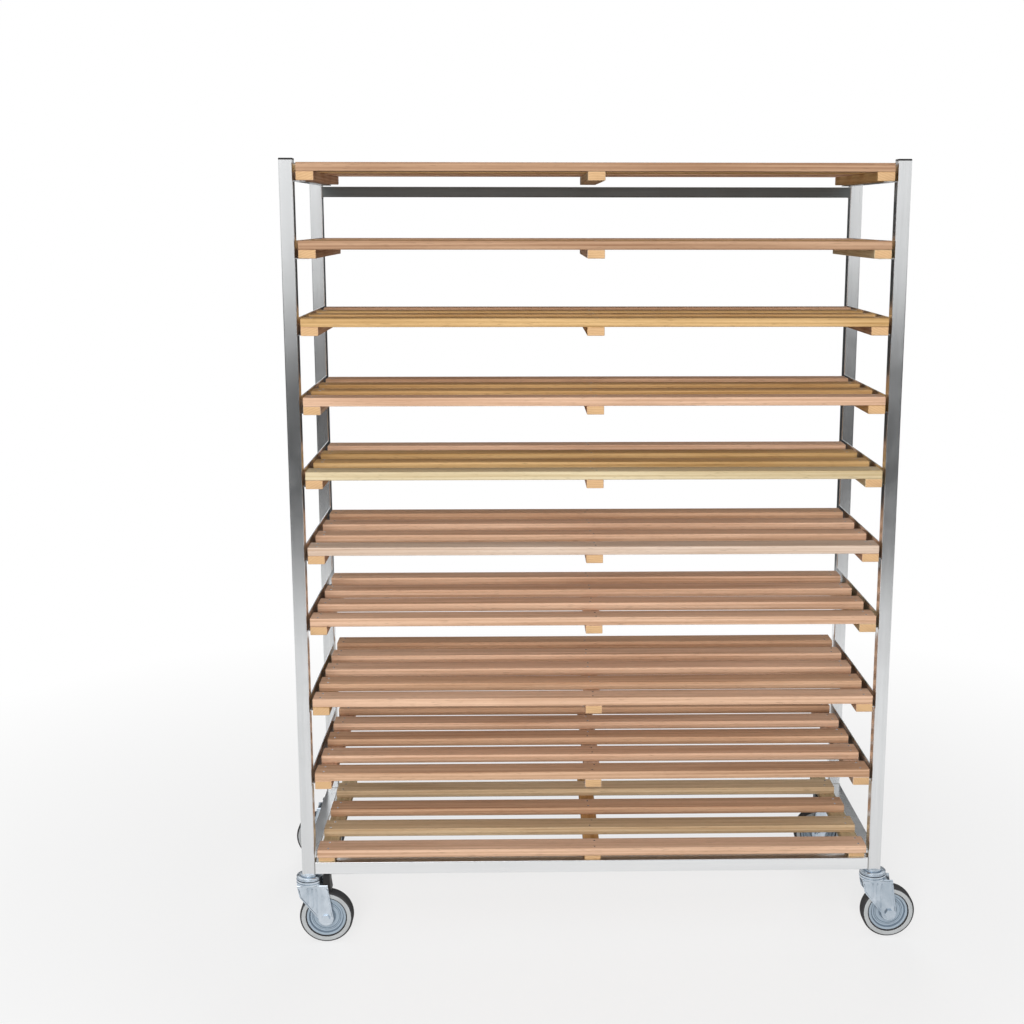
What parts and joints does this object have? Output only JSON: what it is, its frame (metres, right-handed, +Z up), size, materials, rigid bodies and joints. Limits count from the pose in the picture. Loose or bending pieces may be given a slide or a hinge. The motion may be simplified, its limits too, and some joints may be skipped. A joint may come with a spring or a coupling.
{
  "type": "bakery bread rack",
  "caption": "Mobile bakery bread rack: a square steel tube frame on swivel casters with loose slatted wooden shelves on side runners.",
  "frame": {"origin": "on the floor, under the middle of the rack: the bottom centre of the box round it", "axes": "+X to the right along the shelves, +Y from the open front to the back, +Z up"},
  "size_m": [1.531, 0.532, 1.804],
  "materials": {
    "steel": "satin stainless",
    "zinc": "zinc plated",
    "wood": "planed, raw beech",
    "black_plastic": "moulded, slightly rough",
    "grey_plastic": "moulded, satin",
    "grey_rubber": "matt rubber"
  },
  "bodies": {
    "frame": {"upright_front_left": "steel", "upright_front_right": "steel", "upright_back_left": "steel", "upright_back_right": "steel", "bottom_rail_front": "steel", "bottom_rail_back": "steel", "bottom_rail_left": "steel", "bottom_rail_right": "steel", "top_rail_back": "steel", "upright_caps": "black_plastic", "runners_left": "steel", "runners_right": "steel", "caster_front_left_fitting": "zinc", "caster_front_right_fitting": "zinc", "caster_back_left_fitting": "zinc", "caster_back_right_fitting": "zinc"},
    "shelf_1": {"shelf_1_slats": "wood", "shelf_1_battens": "wood"},
    "shelf_2": {"shelf_2_slats": "wood", "shelf_2_battens": "wood"},
    "shelf_3": {"shelf_3_slats": "wood", "shelf_3_battens": "wood"},
    "shelf_4": {"shelf_4_slats": "wood", "shelf_4_battens": "wood"},
    "shelf_5": {"shelf_5_slats": "wood", "shelf_5_battens": "wood"},
    "shelf_6": {"shelf_6_slats": "wood", "shelf_6_battens": "wood"},
    "shelf_7": {"shelf_7_slats": "wood", "shelf_7_battens": "wood"},
    "shelf_8": {"shelf_8_slats": "wood", "shelf_8_battens": "wood"},
    "shelf_9": {"shelf_9_slats": "wood", "shelf_9_battens": "wood"},
    "shelf_10": {"shelf_10_slats": "wood", "shelf_10_battens": "wood"},
    "caster_front_left": {"caster_front_left_fork": "zinc", "caster_front_left_balls": "zinc", "caster_front_left_axle": "zinc", "caster_front_left_pedal_pin": "zinc"},
    "wheel_front_left": {"caster_front_left_rim": "grey_plastic", "caster_front_left_tyre": "grey_rubber"},
    "brake_front_left": {"caster_front_left_pedal": "black_plastic"},
    "caster_front_right": {"caster_front_right_fork": "zinc", "caster_front_right_balls": "zinc", "caster_front_right_axle": "zinc"},
    "wheel_front_right": {"caster_front_right_rim": "grey_plastic", "caster_front_right_tyre": "grey_rubber"},
    "caster_back_left": {"caster_back_left_fork": "zinc", "caster_back_left_balls": "zinc", "caster_back_left_axle": "zinc"},
    "wheel_back_left": {"caster_back_left_rim": "grey_plastic", "caster_back_left_tyre": "grey_rubber"},
    "caster_back_right": {"caster_back_right_fork": "zinc", "caster_back_right_balls": "zinc", "caster_back_right_axle": "zinc", "caster_back_right_pedal_pin": "zinc"},
    "wheel_back_right": {"caster_back_right_rim": "grey_plastic", "caster_back_right_tyre": "grey_rubber"},
    "brake_back_right": {"caster_back_right_pedal": "black_plastic"}
  },
  "joints": [
    {"name": "shelf_1_slide", "type": "slide", "parent": "frame", "child": "shelf_1", "axis": [0, -1, 0], "range_m": [0, 0.45]},
    {"name": "shelf_2_slide", "type": "slide", "parent": "frame", "child": "shelf_2", "axis": [0, -1, 0], "range_m": [0, 0.45]},
    {"name": "shelf_3_slide", "type": "slide", "parent": "frame", "child": "shelf_3", "axis": [0, -1, 0], "range_m": [0, 0.45]},
    {"name": "shelf_4_slide", "type": "slide", "parent": "frame", "child": "shelf_4", "axis": [0, -1, 0], "range_m": [0, 0.45]},
    {"name": "shelf_5_slide", "type": "slide", "parent": "frame", "child": "shelf_5", "axis": [0, -1, 0], "range_m": [0, 0.45]},
    {"name": "shelf_6_slide", "type": "slide", "parent": "frame", "child": "shelf_6", "axis": [0, -1, 0], "range_m": [0, 0.45]},
    {"name": "shelf_7_slide", "type": "slide", "parent": "frame", "child": "shelf_7", "axis": [0, -1, 0], "range_m": [0, 0.45]},
    {"name": "shelf_8_slide", "type": "slide", "parent": "frame", "child": "shelf_8", "axis": [0, -1, 0], "range_m": [0, 0.52]},
    {"name": "shelf_9_slide", "type": "slide", "parent": "frame", "child": "shelf_9", "axis": [0, -1, 0], "range_m": [0, 0.52]},
    {"name": "shelf_10_slide", "type": "slide", "parent": "frame", "child": "shelf_10", "axis": [0, -1, 0], "range_m": [0, 0.52]},
    {"name": "front_left_swivel", "type": "hinge", "parent": "frame", "child": "caster_front_left", "pos_m": [-0.665, -0.235, 0.15], "axis": [0, 0, 1], "continuous": true},
    {"name": "front_left_roll", "type": "hinge", "parent": "caster_front_left", "child": "wheel_front_left", "pos_m": [-0.627, -0.235, 0.0625], "axis": [0, 1, 0], "continuous": true},
    {"name": "front_left_brake", "type": "hinge", "parent": "caster_front_left", "child": "brake_front_left", "pos_m": [-0.626, -0.235, 0.135], "axis": [0, 1, 0], "range_deg": [0, 12]},
    {"name": "front_right_swivel", "type": "hinge", "parent": "frame", "child": "caster_front_right", "pos_m": [0.665, -0.235, 0.15], "axis": [0, 0, 1], "continuous": true},
    {"name": "front_right_roll", "type": "hinge", "parent": "caster_front_right", "child": "wheel_front_right", "pos_m": [0.703, -0.235, 0.0625], "axis": [0, 1, 0], "continuous": true},
    {"name": "back_left_swivel", "type": "hinge", "parent": "frame", "child": "caster_back_left", "pos_m": [-0.665, 0.235, 0.15], "axis": [0, 0, 1], "continuous": true},
    {"name": "back_left_roll", "type": "hinge", "parent": "caster_back_left", "child": "wheel_back_left", "pos_m": [-0.703, 0.235, 0.0625], "axis": [0, 1, 0], "continuous": true},
    {"name": "back_right_swivel", "type": "hinge", "parent": "frame", "child": "caster_back_right", "pos_m": [0.665, 0.235, 0.15], "axis": [0, 0, 1], "continuous": true},
    {"name": "back_right_roll", "type": "hinge", "parent": "caster_back_right", "child": "wheel_back_right", "pos_m": [0.627, 0.235, 0.0625], "axis": [0, 1, 0], "continuous": true},
    {"name": "back_right_brake", "type": "hinge", "parent": "caster_back_right", "child": "brake_back_right", "pos_m": [0.626, 0.235, 0.135], "axis": [0, -1, 0], "range_deg": [0, 12]}
  ]
}
